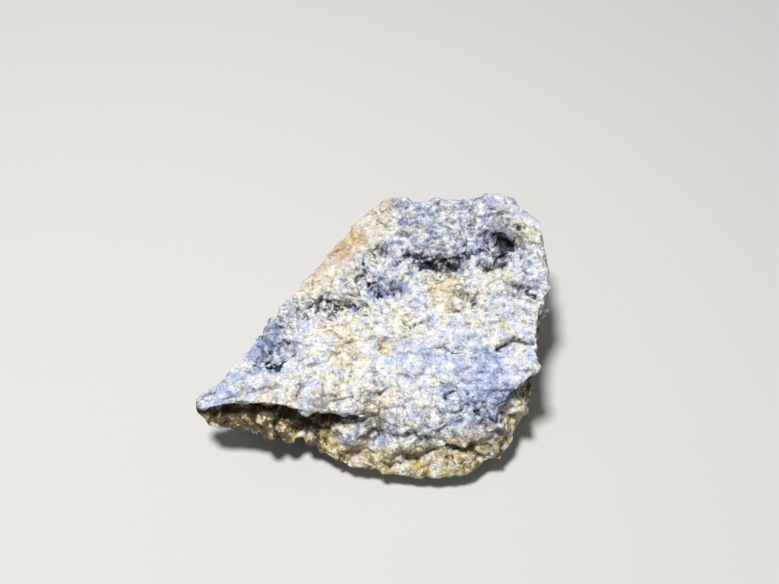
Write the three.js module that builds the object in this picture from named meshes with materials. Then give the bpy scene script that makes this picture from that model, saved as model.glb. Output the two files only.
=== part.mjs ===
import * as THREE from 'three';
import { mergeVertices } from 'three/addons/utils/BufferGeometryUtils.js';

// A rough, unpolished hand specimen of dumortierite in quartz, in millimetres, +Z up.
// It is one broken piece: a wedge-shaped slab with a wide, tilted, stepped top face, a rounded
// tip on the left with a deep overhang under it, and a swollen ledge along the foot of its front.
// The origin is on the surface that the stone rests on, under the middle of its outline.

// Top face: the height of its plane above the origin and its slopes to the right and to the back.
const TOP_HEIGHT = 11.9;
const TOP_SLOPE_RIGHT = 0.035;
const TOP_SLOPE_BACK = 0.15;

// The middle of the top face, and of the underside with the small flat spot that carries the stone.
const CROWN = { x: 0, y: -1 };
const SOLE = { x: 4.5, y: 0, z: -1.3 };

// How far down from the brow the recess lies, as a share of the drop from the brow to the ledge.
const RECESS_DROP = 0.45;

// Places of the brow, recess, ledge and foot along a section that runs from the crown (0),
// over the brow (1) and down the side to the middle of the underside (2).
const SECTION = { brow: 1, recess: 1.18, ledge: 1.42, foot: 1.6, sole: 2 };
const EDGE_ROUNDING = 0.03;

// Cells along each side of the square grid that covers the top, and of the one below it.
const GRID = 46;

// The length of the outline, roughly.
const OUTLINE_LENGTH = 120;

// The outline, anticlockwise from the middle of the right side. Each station gives the brow's
// x, y and height, how far the recess, the ledge and the foot lie inside it, and the heights
// of the ledge and the foot.
const STATIONS = [
  { x: 21.7, y: 3.3, brow: 12.6, recessIn: 0.1, ledgeIn: 0.6, ledge: 6.0, footIn: 1.8, foot: 2.2 },
  { x: 21.3, y: 8.7, brow: 13.0, recessIn: 0.1, ledgeIn: 0.5, ledge: 6.5, footIn: 2.0, foot: 2.4 },
  { x: 21.1, y: 13.8, brow: 13.5, recessIn: 0.1, ledgeIn: 0.7, ledge: 7.0, footIn: 2.4, foot: 2.6 },
  { x: 18.3, y: 16.8, brow: 14.0, recessIn: 0.0, ledgeIn: 0.8, ledge: 7.0, footIn: 3.0, foot: 2.8 },
  { x: 15.7, y: 18.1, brow: 14.6, recessIn: 0.2, ledgeIn: 0.8, ledge: 6.5, footIn: 3.0, foot: 2.6 },
  { x: 13.4, y: 17.3, brow: 14.4, recessIn: 0.3, ledgeIn: 0.2, ledge: 6.0, footIn: 2.6, foot: 2.4 },
  { x: 8.7, y: 16.6, brow: 14.6, recessIn: 0.4, ledgeIn: -0.2, ledge: 6.0, footIn: 2.4, foot: 2.4 },
  { x: 5.5, y: 16.3, brow: 14.4, recessIn: 0.2, ledgeIn: -0.4, ledge: 6.5, footIn: 2.0, foot: 2.4 },
  { x: 4.0, y: 16.9, brow: 14.6, recessIn: 0.4, ledgeIn: 0.2, ledge: 6.5, footIn: 2.2, foot: 2.4 },
  { x: 0.8, y: 17.2, brow: 14.5, recessIn: 0.2, ledgeIn: 0.6, ledge: 6.5, footIn: 2.6, foot: 2.6 },
  { x: -3.2, y: 12.9, brow: 13.3, recessIn: -0.3, ledgeIn: 0.1, ledge: 6.5, footIn: 2.4, foot: 2.6 },
  { x: -5.9, y: 9.3, brow: 12.7, recessIn: -0.3, ledgeIn: 0.2, ledge: 6.3, footIn: 2.2, foot: 2.6 },
  { x: -8.8, y: 4.8, brow: 12.2, recessIn: -0.2, ledgeIn: 0.4, ledge: 6.2, footIn: 2.6, foot: 2.8 },
  { x: -12.2, y: 0.4, brow: 11.4, recessIn: -0.2, ledgeIn: 0.5, ledge: 6.2, footIn: 2.8, foot: 3.2 },
  { x: -15.1, y: -4.1, brow: 10.5, recessIn: -0.1, ledgeIn: 0.4, ledge: 6.2, footIn: 2.4, foot: 3.8 },
  { x: -18.2, y: -8.5, brow: 9.8, recessIn: 0.0, ledgeIn: 0.3, ledge: 6.4, footIn: 1.4, foot: 4.4 },
  { x: -19.5, y: -9.7, brow: 9.5, recessIn: 0.1, ledgeIn: 0.2, ledge: 6.4, footIn: 1.0, foot: 4.8 },
  { x: -21.1, y: -10.7, brow: 9.0, recessIn: -0.2, ledgeIn: 0.0, ledge: 6.6, footIn: 0.8, foot: 5.2 },
  { x: -21.2, y: -11.5, brow: 8.3, recessIn: -0.1, ledgeIn: 0.1, ledge: 6.4, footIn: 0.8, foot: 5.0 },
  { x: -20.1, y: -12.2, brow: 8.6, recessIn: 0.9, ledgeIn: -0.4, ledge: 5.6, footIn: 0.7, foot: 4.3 },
  { x: -15.9, y: -11.7, brow: 9.5, recessIn: 1.8, ledgeIn: -1.4, ledge: 4.8, footIn: 0.1, foot: 3.7 },
  { x: -12.3, y: -12.4, brow: 9.8, recessIn: 2.0, ledgeIn: -1.8, ledge: 4.4, footIn: -0.2, foot: 3.1 },
  { x: -8.8, y: -13.2, brow: 9.9, recessIn: 2.1, ledgeIn: -0.2, ledge: 3.8, footIn: 1.2, foot: 2.2 },
  { x: -5.3, y: -13.6, brow: 9.8, recessIn: 1.7, ledgeIn: -2.4, ledge: 3.0, footIn: -0.8, foot: 1.6 },
  { x: -2.5, y: -13.0, brow: 9.6, recessIn: -0.4, ledgeIn: -4.4, ledge: 2.7, footIn: -2.5, foot: 1.6 },
  { x: 2.7, y: -12.2, brow: 9.4, recessIn: -2.8, ledgeIn: -5.8, ledge: 2.5, footIn: -4.1, foot: 1.3 },
  { x: 8.5, y: -12.2, brow: 9.4, recessIn: -3.0, ledgeIn: -5.2, ledge: 2.5, footIn: -3.9, foot: 1.3 },
  { x: 13.6, y: -11.4, brow: 9.7, recessIn: -2.6, ledgeIn: -4.8, ledge: 3.2, footIn: -3.2, foot: 1.9 },
  { x: 17.6, y: -9.7, brow: 10.6, recessIn: 0.5, ledgeIn: -0.3, ledge: 4.5, footIn: 0.7, foot: 2.4 },
  { x: 19.6, y: -8.0, brow: 11.3, recessIn: 0.7, ledgeIn: 1.0, ledge: 5.5, footIn: 2.0, foot: 2.6 },
  { x: 19.4, y: -4.1, brow: 11.9, recessIn: 0.5, ledgeIn: 1.1, ledge: 6.0, footIn: 2.0, foot: 2.4 },
  { x: 20.3, y: 0.5, brow: 12.3, recessIn: 0.3, ledgeIn: 0.9, ledge: 6.0, footIn: 1.8, foot: 2.2 },
];

// Steps in the top face, seen from above, each along a line of x and y from left to right. Behind
// its line the surface stands up by rise, and just in front of it there is a hollow of depth.
const TOP_STEPS = [
  {
    name: 'plateau',
    rise: 0.6,
    depth: 1.25,
    line: [[0.5, 9.2], [2.6, 8.4], [4.3, 8.5], [5.4, 7.4], [7.3, 6.9], [8.7, 6.8], [10, 7.1],
      [11.5, 7.4], [13.5, 7.4], [15.2, 7.4], [16.6, 7.6]],
  },
  {
    name: 'lumps behind the plateau edge',
    rise: 0.6,
    depth: 1.2,
    line: [[13.2, 11.2], [14.5, 10.8], [15.8, 10.4], [17.4, 10.2]],
  },
  {
    name: 'middle left ledge',
    rise: 0.8,
    depth: 1,
    line: [[-2.2, 5.2], [-1.3, 3.9], [0.2, 2.9], [1.8, 3.6], [3.2, 3.5]],
  },
  {
    name: 'left band',
    rise: 0.6,
    depth: 0.9,
    line: [[-10, 1.9], [-8.5, 1.3], [-6.6, 2], [-4.8, 1.7], [-3.4, 1.1], [-1.6, 0.5]],
  },
  {
    name: 'left hollow',
    rise: 0.3,
    depth: 0.5,
    line: [[-13.4, -3.9], [-12.2, -4.2], [-10.6, -4.3]],
  },
  {
    name: 'small left ledge',
    rise: 0.2,
    depth: 0.4,
    line: [[-13.8, -5.7], [-12.4, -5.8], [-11.6, -6.4]],
  },
  {
    name: 'grey hollow',
    rise: 0.4,
    depth: 0.8,
    line: [[9.9, 3.2], [11.3, 2.2], [12.8, 1.2]],
  },
  {
    name: 'right hollow',
    rise: 0.4,
    depth: 0.8,
    line: [[16.9, 3.6], [18.6, 3.1], [20.2, 1.8]],
  },
  {
    name: 'front right hollow',
    rise: 0.3,
    depth: 0.7,
    line: [[7.2, -10.6], [8.2, -10.9], [9.4, -11.3], [10.6, -11.6]],
  },
  {
    name: 'front left bench',
    rise: 0.3,
    depth: 0.5,
    line: [[-1.2, -11.6], [0.2, -12.4], [1.6, -12.6]],
  },
];

// Steps in the front side, seen from the front, each along a line of x and z from left to right.
const FRONT_STEPS = [
  {
    name: 'left bump of the lip',
    rise: 0.6,
    depth: 0.7,
    line: [[-16.4, 8], [-15, 8.1]],
  },
  {
    name: 'middle bump of the lip',
    rise: 0.5,
    depth: 0.6,
    line: [[-12.2, 8.5], [-11.4, 8.4]],
  },
  {
    name: 'right bump of the lip',
    rise: 0.6,
    depth: 0.7,
    line: [[-9.4, 8.6], [-7.8, 8.3]],
  },
  {
    name: 'end of the undercut',
    rise: 0.2,
    depth: 1,
    line: [[-6.4, 7.7], [-4.2, 7.8], [-2.5, 7.9], [-1.2, 8]],
  },
  {
    name: 'lower right hollow',
    rise: 0.4,
    depth: 0.8,
    line: [[10.3, 9.4], [12.1, 8.5], [13.2, 8.3], [14.6, 8.3], [16, 7.6]],
  },
  {
    name: 'fissure',
    rise: 0.2,
    depth: 0.8,
    line: [[-0.8, 4.5], [0.4, 4.5], [1.4, 4.3], [3.3, 4.9], [5.4, 5], [7.7, 5.5], [9.8, 5.5],
      [12.5, 5.4]],
  },
  {
    name: 'right fold',
    rise: 0.2,
    depth: 0.5,
    line: [[10.9, 4.6], [11.7, 4.3], [12.6, 3.7], [14.7, 4.3]],
  },
  {
    name: 'ledge below the undercut',
    rise: 0.4,
    depth: 0.8,
    line: [[-18.5, 5.5], [-17.1, 5.2], [-15.3, 5], [-14, 4.7], [-12, 4.4]],
  },
  {
    name: 'seam below the undercut',
    rise: 0.3,
    depth: 0.8,
    line: [[-11.2, 4.2], [-9.4, 3.9], [-7.9, 3.6]],
  },
];

// How far the rise of a step is spread on each side of its line, how far back the raised surface
// reaches, and the half widths of the hollows.
const STEP_EDGE = 0.35;
const STEP_REACH = 5;
const TOP_HOLLOW = 1.1;
const FRONT_HOLLOW = 0.6;

// How raggedly the steps wander from their lines.
const WANDER = { size: 2.2, reach: 1.1, seed: 61 };

// How unevenly high they are along them.
const UNEVEN = { size: 2.4, share: 1.2, seed: 1090 };

// Broken relief: swells and lumps all over, facets that lean down to the front, smaller blocks on
// the sides, and split layers on the sides.
const SWELL = { size: 9, height: 0.45, seed: 11 };
const LUMPS = { size: 3.1, height: 0.5, seed: 37 };
const FACETS = { size: 5, tilt: 0.18, sideTilt: 0.2, seed: 23 };
const BLOCKS = { size: 2.9, tilt: 0.2, seed: 41 };
const FACET_CRISPNESS = 14;
const FACET_LEAN = new THREE.Vector3(0, -0.4, -0.4);
const LAYERS = { thickness: 2.1, height: 0.5, waviness: 1.6, size: 7, seed: 53 };

// How much of that relief the brow goes without, which keeps the outline seen from above, and
// where the thin tip ends and the full relief begins.
const BROW_STEADY = 0.75;
const TIP_RELIEF = { endX: -22, fullX: -12, least: 0.3 };

const lerp = THREE.MathUtils.lerp;
const smoothstep = THREE.MathUtils.smoothstep;

const topPlane = (x, y) => TOP_HEIGHT + TOP_SLOPE_RIGHT * x + TOP_SLOPE_BACK * y;

// A repeatable number from 0 to 1 for each cell of a grid.
function chance(ix, iy, iz, seed) {
  let bits = Math.imul(ix, 374761393) + Math.imul(iy, 668265263) + Math.imul(iz, 1440662683);
  bits = Math.imul(bits + Math.imul(seed, 974634777), 1274126177);
  bits = Math.imul(bits ^ (bits >>> 15), 1103515245);
  bits = Math.imul(bits ^ (bits >>> 13), 1597334677);
  return ((bits ^ (bits >>> 16)) >>> 0) / 2 ** 32;
}

const chanceVector = (cell, seed) => new THREE.Vector3(
  chance(cell.x, cell.y, cell.z, seed),
  chance(cell.x, cell.y, cell.z, seed + 1),
  chance(cell.x, cell.y, cell.z, seed + 2),
).multiplyScalar(2).subScalar(1);

// Calls visit with every cell whose offset from base lies between low and high on each axis.
function eachNear(base, low, high, visit) {
  const cell = new THREE.Vector3();
  for (let dx = low; dx <= high; dx += 1) {
    for (let dy = low; dy <= high; dy += 1) {
      for (let dz = low; dz <= high; dz += 1) {
        visit(cell.set(base.x + dx, base.y + dy, base.z + dz), dx, dy, dz);
      }
    }
  }
}

// Smooth gradient noise, from about -1 to 1, with lumps of the given size.
function smoothNoise(point, size, seed) {
  const place = point.clone().divideScalar(size);
  const base = place.clone().floor();
  const part = place.clone().sub(base);
  const fade = (t) => t * t * t * (t * (t * 6 - 15) + 10);
  const blend = new THREE.Vector3(fade(part.x), fade(part.y), fade(part.z));
  let sum = 0;
  eachNear(base, 0, 1, (cell, dx, dy, dz) => {
    const away = place.clone().sub(cell);
    const level = (dx ? blend.x : 1 - blend.x) * (dy ? blend.y : 1 - blend.y);
    const weight = level * (dz ? blend.z : 1 - blend.z);
    sum += weight * chanceVector(cell, seed).dot(away);
  });
  return sum * 1.5;
}

// Broken facets: space is parted into cells round scattered middles, each with its own tilt, and
// the tilts blend where cells meet.
function facetRelief(point, size, seed) {
  const place = point.clone().divideScalar(size);
  const base = place.clone().floor();
  let height = 0;
  let total = 0;
  eachNear(base, -1, 1, (cell) => {
    const middle = chanceVector(cell, seed).multiplyScalar(0.4).addScalar(0.5).add(cell);
    const away = place.clone().sub(middle);
    const weight = Math.exp(-FACET_CRISPNESS * away.lengthSq());
    height += weight * chanceVector(cell, seed + 3).add(FACET_LEAN).dot(away) * size;
    total += weight;
  });
  return height / total;
}

// Split layers on the sides: the surface steps in and out with height, along wavy seams.
function layerRelief(point) {
  const wave = smoothNoise(point, LAYERS.size, LAYERS.seed) * LAYERS.waviness;
  const level = (point.z + wave) / LAYERS.thickness;
  const layer = Math.floor(level);
  const edge = smoothstep(level - layer, 0, 0.35);
  const jut = (n) => chance(n, 0, 0, LAYERS.seed) - 0.5;
  return lerp(jut(layer - 1), jut(layer), edge);
}

// The height of a line of x and y points above x, and how far x lies inside its ends.
function lineAt(line, x) {
  const last = line.length - 1;
  const next = Math.min(Math.max(line.findIndex((p) => p[0] > x), 1), last);
  const from = line[next - 1];
  const to = line[next];
  const share = THREE.MathUtils.clamp((x - from[0]) / (to[0] - from[0]), 0, 1);
  const y = x >= line[last][0] ? line[last][1] : lerp(from[1], to[1], share);
  return { y, inside: Math.min(x - line[0][0], line[last][0] - x) };
}

// One step: raised behind its line, hollow in front of it, and faded out past its ends.
function stepRelief(x, y, step, width) {
  const { y: edge, inside } = lineAt(step.line, x);
  const across = y - edge;
  const along = smoothstep(inside, -1.4, 0.8);
  const fall = Math.exp(-Math.max(across, 0) / STEP_REACH);
  const raised = step.rise * smoothstep(across, -STEP_EDGE, STEP_EDGE) * fall;
  const middle = (across + width * 0.7) / width;
  return along * (raised - step.depth * Math.exp(-middle * middle));
}

const fromCrown = (station) => new THREE.Vector2(station.x - CROWN.x, station.y - CROWN.y);

// The outline with each station's outward direction and its share of the way round, which goes
// half by the length of the outline and half by the turn about the crown.
function surveyStations() {
  const count = STATIONS.length;
  const surveyed = STATIONS.map((station, i) => {
    const before = STATIONS[(i + count - 1) % count];
    const after = STATIONS[(i + 1) % count];
    const outward = new THREE.Vector2(after.y - before.y, before.x - after.x).normalize();
    const length = Math.hypot(after.x - station.x, after.y - station.y);
    const turn = fromCrown(after).angle() - fromCrown(station).angle();
    const turned = THREE.MathUtils.euclideanModulo(turn, 2 * Math.PI) / (2 * Math.PI);
    const step = length / OUTLINE_LENGTH + turned;
    return { ...station, outX: outward.x, outY: outward.y, step };
  });
  const around = surveyed.reduce((sum, station) => sum + station.step, 0);
  let gone = 0;
  for (const station of surveyed) {
    station.at = gone / around;
    gone += station.step;
  }
  return [...surveyed, { ...surveyed[0], at: 1 }];
}

const OUTLINE = surveyStations();

// The station at a share of the way round, blended from the two beside it.
function stationAt(share) {
  const turn = share - Math.floor(share);
  const next = Math.max(OUTLINE.findIndex((station) => station.at > turn), 1);
  const from = OUTLINE[next - 1];
  const to = OUTLINE[next];
  const blend = (turn - from.at) / (to.at - from.at);
  return Object.fromEntries(Object.keys(from).map((key) => [key, lerp(from[key], to[key], blend)]));
}

function ringPoint(station, inset, z) {
  return new THREE.Vector3(station.x - station.outX * inset, station.y - station.outY * inset, z);
}

// A point on the stone's plain form: along is its place on the section through a station.
function sectionPoint(station, along) {
  if (along <= SECTION.brow) {
    const x = lerp(CROWN.x, station.x, along);
    const y = lerp(CROWN.y, station.y, along);
    const sag = station.brow - topPlane(station.x, station.y);
    return new THREE.Vector3(x, y, topPlane(x, y) + sag * along ** 4);
  }
  const recessZ = lerp(station.brow, station.ledge, RECESS_DROP);
  const brow = ringPoint(station, 0, station.brow);
  const recess = ringPoint(station, station.recessIn, recessZ);
  const ledge = ringPoint(station, station.ledgeIn, station.ledge);
  const foot = ringPoint(station, station.footIn, station.foot);
  const between = (a, b, start, end) => a.lerp(b, (along - start) / (end - start));
  if (along < SECTION.recess) return between(brow, recess, SECTION.brow, SECTION.recess);
  if (along < SECTION.ledge) return between(recess, ledge, SECTION.recess, SECTION.ledge);
  if (along < SECTION.foot) return between(ledge, foot, SECTION.ledge, SECTION.foot);
  const inward = (along - SECTION.foot) / (SECTION.sole - SECTION.foot);
  const z = lerp(SOLE.z, foot.z, (1 - inward) ** 1.4);
  return new THREE.Vector3(lerp(foot.x, SOLE.x, inward), lerp(foot.y, SOLE.y, inward), z);
}

// The same point with the brow, recess, ledge and foot rounded off a little.
function formPoint(share, along) {
  const station = stationAt(share);
  const before = sectionPoint(station, Math.max(along - EDGE_ROUNDING, 0));
  const after = sectionPoint(station, Math.min(along + EDGE_ROUNDING, SECTION.sole));
  return sectionPoint(station, along).multiplyScalar(2).add(before).add(after).divideScalar(4);
}

// A square of cells carried to a disc: how far out a corner lies, and its share of the way round.
function discPlace(a, b) {
  const out = Math.max(Math.abs(a), Math.abs(b));
  if (out === 0) return { out, share: 0 };
  const turn = Math.abs(a) > Math.abs(b) ? b / a + (a < 0 ? 4 : 0) : 2 - a / b + (b < 0 ? 4 : 0);
  return { out, share: (turn + 8) % 8 / 8 };
}

// Both sheets, top and under, meet along the brow: the plain form as one closed surface.
function plainForm() {
  const positions = [];
  const along = [];
  const triangles = [];
  const row = GRID + 1;
  for (const under of [false, true]) {
    const start = positions.length / 3;
    for (let j = 0; j <= GRID; j += 1) {
      for (let i = 0; i <= GRID; i += 1) {
        const { out, share } = discPlace(2 * i / GRID - 1, 2 * j / GRID - 1);
        const place = under ? SECTION.sole - out : out;
        positions.push(...formPoint(share, place).toArray());
        along.push(place);
        if (i === GRID || j === GRID) continue;
        const corner = start + j * row + i;
        const corners = [corner, corner + 1, corner + row + 1, corner + row];
        const sameSign = (2 * i + 1 - GRID) * (2 * j + 1 - GRID) > 0;
        const [p, q, r, s] = sameSign ? corners : [...corners.slice(1), corners[0]];
        triangles.push(...(under ? [p, r, q, p, s, r] : [p, q, r, p, r, s]));
      }
    }
  }
  const form = new THREE.BufferGeometry();
  form.setAttribute('position', new THREE.Float32BufferAttribute(positions, 3));
  form.setAttribute('along', new THREE.Float32BufferAttribute(along, 1));
  form.setIndex(triangles);
  return mergeVertices(form);
}

// How far the broken surface stands out from the plain form at a point.
function relief(point, facing, along) {
  const top = 1 - smoothstep(along, 0.94, 1.04);
  const side = smoothstep(along, 0.98, 1.08) * (1 - smoothstep(along, 1.58, 1.72));
  const nearBrow = Math.exp(-(((along - SECTION.brow) / 0.1) ** 2));
  const steady = 1 - BROW_STEADY * nearBrow;
  const swell = smoothNoise(point, SWELL.size, SWELL.seed) * SWELL.height;
  const lumps = smoothNoise(point, LUMPS.size, LUMPS.seed) * LUMPS.height;
  const tilt = lerp(FACETS.tilt, FACETS.sideTilt, side);
  const facets = facetRelief(point, FACETS.size, FACETS.seed) * tilt;
  const blocks = facetRelief(point, BLOCKS.size, BLOCKS.seed) * BLOCKS.tilt * side;
  const layers = layerRelief(point) * LAYERS.height * side;
  const x = point.x + smoothNoise(point, WANDER.size, WANDER.seed) * WANDER.reach;
  const shift = smoothNoise(point, WANDER.size, WANDER.seed + 7) * WANDER.reach;
  const sumOf = (list, y, width) => list.reduce((sum, step) => sum + stepRelief(x, y, step, width), 0);
  const steps = sumOf(TOP_STEPS, point.y + shift, TOP_HOLLOW);
  const frontSteps = sumOf(FRONT_STEPS, point.z + shift, FRONT_HOLLOW);
  const front = side * smoothstep(-facing.y, 0.1, 0.5);
  const uneven = Math.max(1 + smoothNoise(point, UNEVEN.size, UNEVEN.seed) * UNEVEN.share, 0);
  const tip = lerp(TIP_RELIEF.least, 1, smoothstep(point.x, TIP_RELIEF.endX, TIP_RELIEF.fullX));
  const broken = (swell + lumps + facets + blocks + layers) * steady * tip;
  return broken + (steps * top + frontSteps * front) * uneven;
}

// The plain form pushed in and out along its normals, and cut flat where it stands.
function brokenStone() {
  const stone = plainForm();
  stone.computeVertexNormals();
  const position = stone.getAttribute('position');
  const normal = stone.getAttribute('normal');
  const along = stone.getAttribute('along');
  const point = new THREE.Vector3();
  const outward = new THREE.Vector3();
  for (let i = 0; i < position.count; i += 1) {
    point.fromBufferAttribute(position, i);
    outward.fromBufferAttribute(normal, i);
    point.addScaledVector(outward, relief(point, outward, along.getX(i)));
    position.setXYZ(i, point.x, point.y, Math.max(point.z, 0));
  }
  stone.deleteAttribute('normal');
  stone.deleteAttribute('along');
  return stone;
}

const stoneMaterial = new THREE.MeshStandardMaterial({ color: '#c3c4c8', roughness: 0.78, metalness: 0 });
const stone = new THREE.Mesh(brokenStone(), stoneMaterial);
stone.name = 'stone';

const specimen = new THREE.Group();
specimen.add(stone);

export default specimen;
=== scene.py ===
"""A rough, unpolished hand specimen of dumortierite in quartz, and the plain stage that it lies on.

Lengths of the stone are in millimetres, in the frame's own axes, until a mesh is made in metres.
"""

import math

import bpy
import numpy as np
from bpy.props import FloatProperty, FloatVectorProperty, IntProperty, PointerProperty
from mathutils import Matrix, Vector


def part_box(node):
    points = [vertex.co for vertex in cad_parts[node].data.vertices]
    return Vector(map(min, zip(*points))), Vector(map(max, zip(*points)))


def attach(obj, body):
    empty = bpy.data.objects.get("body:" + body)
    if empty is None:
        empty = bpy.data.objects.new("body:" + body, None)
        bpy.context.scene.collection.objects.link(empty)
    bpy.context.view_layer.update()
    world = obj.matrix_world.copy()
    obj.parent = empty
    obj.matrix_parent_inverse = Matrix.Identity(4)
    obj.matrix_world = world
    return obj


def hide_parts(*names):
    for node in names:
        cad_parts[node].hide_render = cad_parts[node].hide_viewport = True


bl_info = {
    "name": "Dumortierite hand specimen",
    "version": (1, 0, 0),
    "blender": (4, 5, 0),
    "location": "View3D > Sidebar > Specimen",
    "description": "Builds a rough piece of dumortierite in quartz on a plain pale stage",
    "category": "Add Mesh",
}

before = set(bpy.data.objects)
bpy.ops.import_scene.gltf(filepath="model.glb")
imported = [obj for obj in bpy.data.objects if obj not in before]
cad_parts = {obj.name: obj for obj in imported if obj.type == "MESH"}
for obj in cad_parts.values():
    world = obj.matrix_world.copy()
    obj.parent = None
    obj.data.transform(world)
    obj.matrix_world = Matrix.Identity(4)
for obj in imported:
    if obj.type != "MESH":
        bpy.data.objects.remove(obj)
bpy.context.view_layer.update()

MM = 0.001
STONE_NODE = "stone"

# ---------- The stone's form ----------

# Top face: the height of its plane above the origin and its slopes to the right and to the back.
TOP_HEIGHT = 11.9
TOP_SLOPE_RIGHT = 0.035
TOP_SLOPE_BACK = 0.15

# The middle of the top face, and of the underside with the small flat spot that carries the stone.
CROWN = np.array([0.0, -1.0])
SOLE = np.array([4.5, 0.0, -1.3])

# How far down from the brow the recess lies, as a share of the drop from the brow to the ledge.
RECESS_DROP = 0.45

# Places on a section that runs from the crown (0), over the brow (1) and down the side to the
# middle of the underside (2).
BROW, RECESS, LEDGE, FOOT, UNDER = 1.0, 1.18, 1.42, 1.6, 2.0
EDGE_ROUNDING = 0.03

# The stretches of a section over which things fade in or out: where the top's steps, its cracks,
# its pits and its colours end, where the sides' relief and stain start, where what is low on the
# sides starts, and where the sides' relief ends. The front is what faces forwards by so much.
STEPS_END, CRACKS_END, PITS_END, COLOURS_END = (0.94, 1.04), (0.96, 1.03), (1.15, 1.3), (1.1, 1.3)
SIDES_START, STAIN_START, LOW_START, SIDES_END = (0.98, 1.08), (0.98, 1.12), (1.3, 1.5), (1.58, 1.72)
FRONT_FACING = (0.1, 0.5)

# The outline's length, for parting it evenly, and the powers of the way by which the top leaves
# its plane at the brow and the underside falls to its middle.
OUTLINE_LENGTH = 120.0
TOP_CURVE = 4
UNDER_CURVE = 1.4

# The outline, anticlockwise from the middle of the right side: the brow's x, y and height, how
# far the recess and the ledge lie inside it, the ledge's height, how far the foot lies inside
# the brow, and the foot's height.
STATIONS = [
    (21.7, 3.3, 12.6, 0.1, 0.6, 6, 1.8, 2.2),
    (21.3, 8.7, 13, 0.1, 0.5, 6.5, 2, 2.4),
    (21.1, 13.8, 13.5, 0.1, 0.7, 7, 2.4, 2.6),
    (18.3, 16.8, 14, 0, 0.8, 7, 3, 2.8),
    (15.7, 18.1, 14.6, 0.2, 0.8, 6.5, 3, 2.6),
    (13.4, 17.3, 14.4, 0.3, 0.2, 6, 2.6, 2.4),
    (8.7, 16.6, 14.6, 0.4, -0.2, 6, 2.4, 2.4),
    (5.5, 16.3, 14.4, 0.2, -0.4, 6.5, 2, 2.4),
    (4, 16.9, 14.6, 0.4, 0.2, 6.5, 2.2, 2.4),
    (0.8, 17.2, 14.5, 0.2, 0.6, 6.5, 2.6, 2.6),
    (-3.2, 12.9, 13.3, -0.3, 0.1, 6.5, 2.4, 2.6),
    (-5.9, 9.3, 12.7, -0.3, 0.2, 6.3, 2.2, 2.6),
    (-8.8, 4.8, 12.2, -0.2, 0.4, 6.2, 2.6, 2.8),
    (-12.2, 0.4, 11.4, -0.2, 0.5, 6.2, 2.8, 3.2),
    (-15.1, -4.1, 10.5, -0.1, 0.4, 6.2, 2.4, 3.8),
    (-18.2, -8.5, 9.8, 0, 0.3, 6.4, 1.4, 4.4),
    (-19.5, -9.7, 9.5, 0.1, 0.2, 6.4, 1, 4.8),
    (-21.1, -10.7, 9, -0.2, 0, 6.6, 0.8, 5.2),
    (-21.2, -11.5, 8.3, -0.1, 0.1, 6.4, 0.8, 5),
    (-20.1, -12.2, 8.6, 0.9, -0.4, 5.6, 0.7, 4.3),
    (-15.9, -11.7, 9.5, 1.8, -1.4, 4.8, 0.1, 3.7),
    (-12.3, -12.4, 9.8, 2, -1.8, 4.4, -0.2, 3.1),
    (-8.8, -13.2, 9.9, 2.1, -0.2, 3.8, 1.2, 2.2),
    (-5.3, -13.6, 9.8, 1.7, -2.4, 3, -0.8, 1.6),
    (-2.5, -13, 9.6, -0.4, -4.4, 2.7, -2.5, 1.6),
    (2.7, -12.2, 9.4, -2.8, -5.8, 2.5, -4.1, 1.3),
    (8.5, -12.2, 9.4, -3, -5.2, 2.5, -3.9, 1.3),
    (13.6, -11.4, 9.7, -2.6, -4.8, 3.2, -3.2, 1.9),
    (17.6, -9.7, 10.6, 0.5, -0.3, 4.5, 0.7, 2.4),
    (19.6, -8, 11.3, 0.7, 1, 5.5, 2, 2.6),
    (19.4, -4.1, 11.9, 0.5, 1.1, 6, 2, 2.4),
    (20.3, 0.5, 12.3, 0.3, 0.9, 6, 1.8, 2.2),
]

# Steps in the top face, seen from above: how far the surface behind the line stands up, how deep
# the hollow just in front of it is, and the line's x and y from left to right.
TOP_STEPS = [
    (0.6, 1.25, [(0.5, 9.2), (2.6, 8.4), (4.3, 8.5), (5.4, 7.4), (7.3, 6.9), (8.7, 6.8), (10, 7.1),
                 (11.5, 7.4), (13.5, 7.4), (15.2, 7.4), (16.6, 7.6)]),
    (0.6, 1.2, [(13.2, 11.2), (14.5, 10.8), (15.8, 10.4), (17.4, 10.2)]),
    (0.8, 1, [(-2.2, 5.2), (-1.3, 3.9), (0.2, 2.9), (1.8, 3.6), (3.2, 3.5)]),
    (0.6, 0.9, [(-10, 1.9), (-8.5, 1.3), (-6.6, 2), (-4.8, 1.7), (-3.4, 1.1), (-1.6, 0.5)]),
    (0.3, 0.5, [(-13.4, -3.9), (-12.2, -4.2), (-10.6, -4.3)]),
    (0.2, 0.4, [(-13.8, -5.7), (-12.4, -5.8), (-11.6, -6.4)]),
    (0.4, 0.8, [(9.9, 3.2), (11.3, 2.2), (12.8, 1.2)]),
    (0.4, 0.8, [(16.9, 3.6), (18.6, 3.1), (20.2, 1.8)]),
    (0.3, 0.7, [(7.2, -10.6), (8.2, -10.9), (9.4, -11.3), (10.6, -11.6)]),
    (0.3, 0.5, [(-1.2, -11.6), (0.2, -12.4), (1.6, -12.6)]),
]

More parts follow.
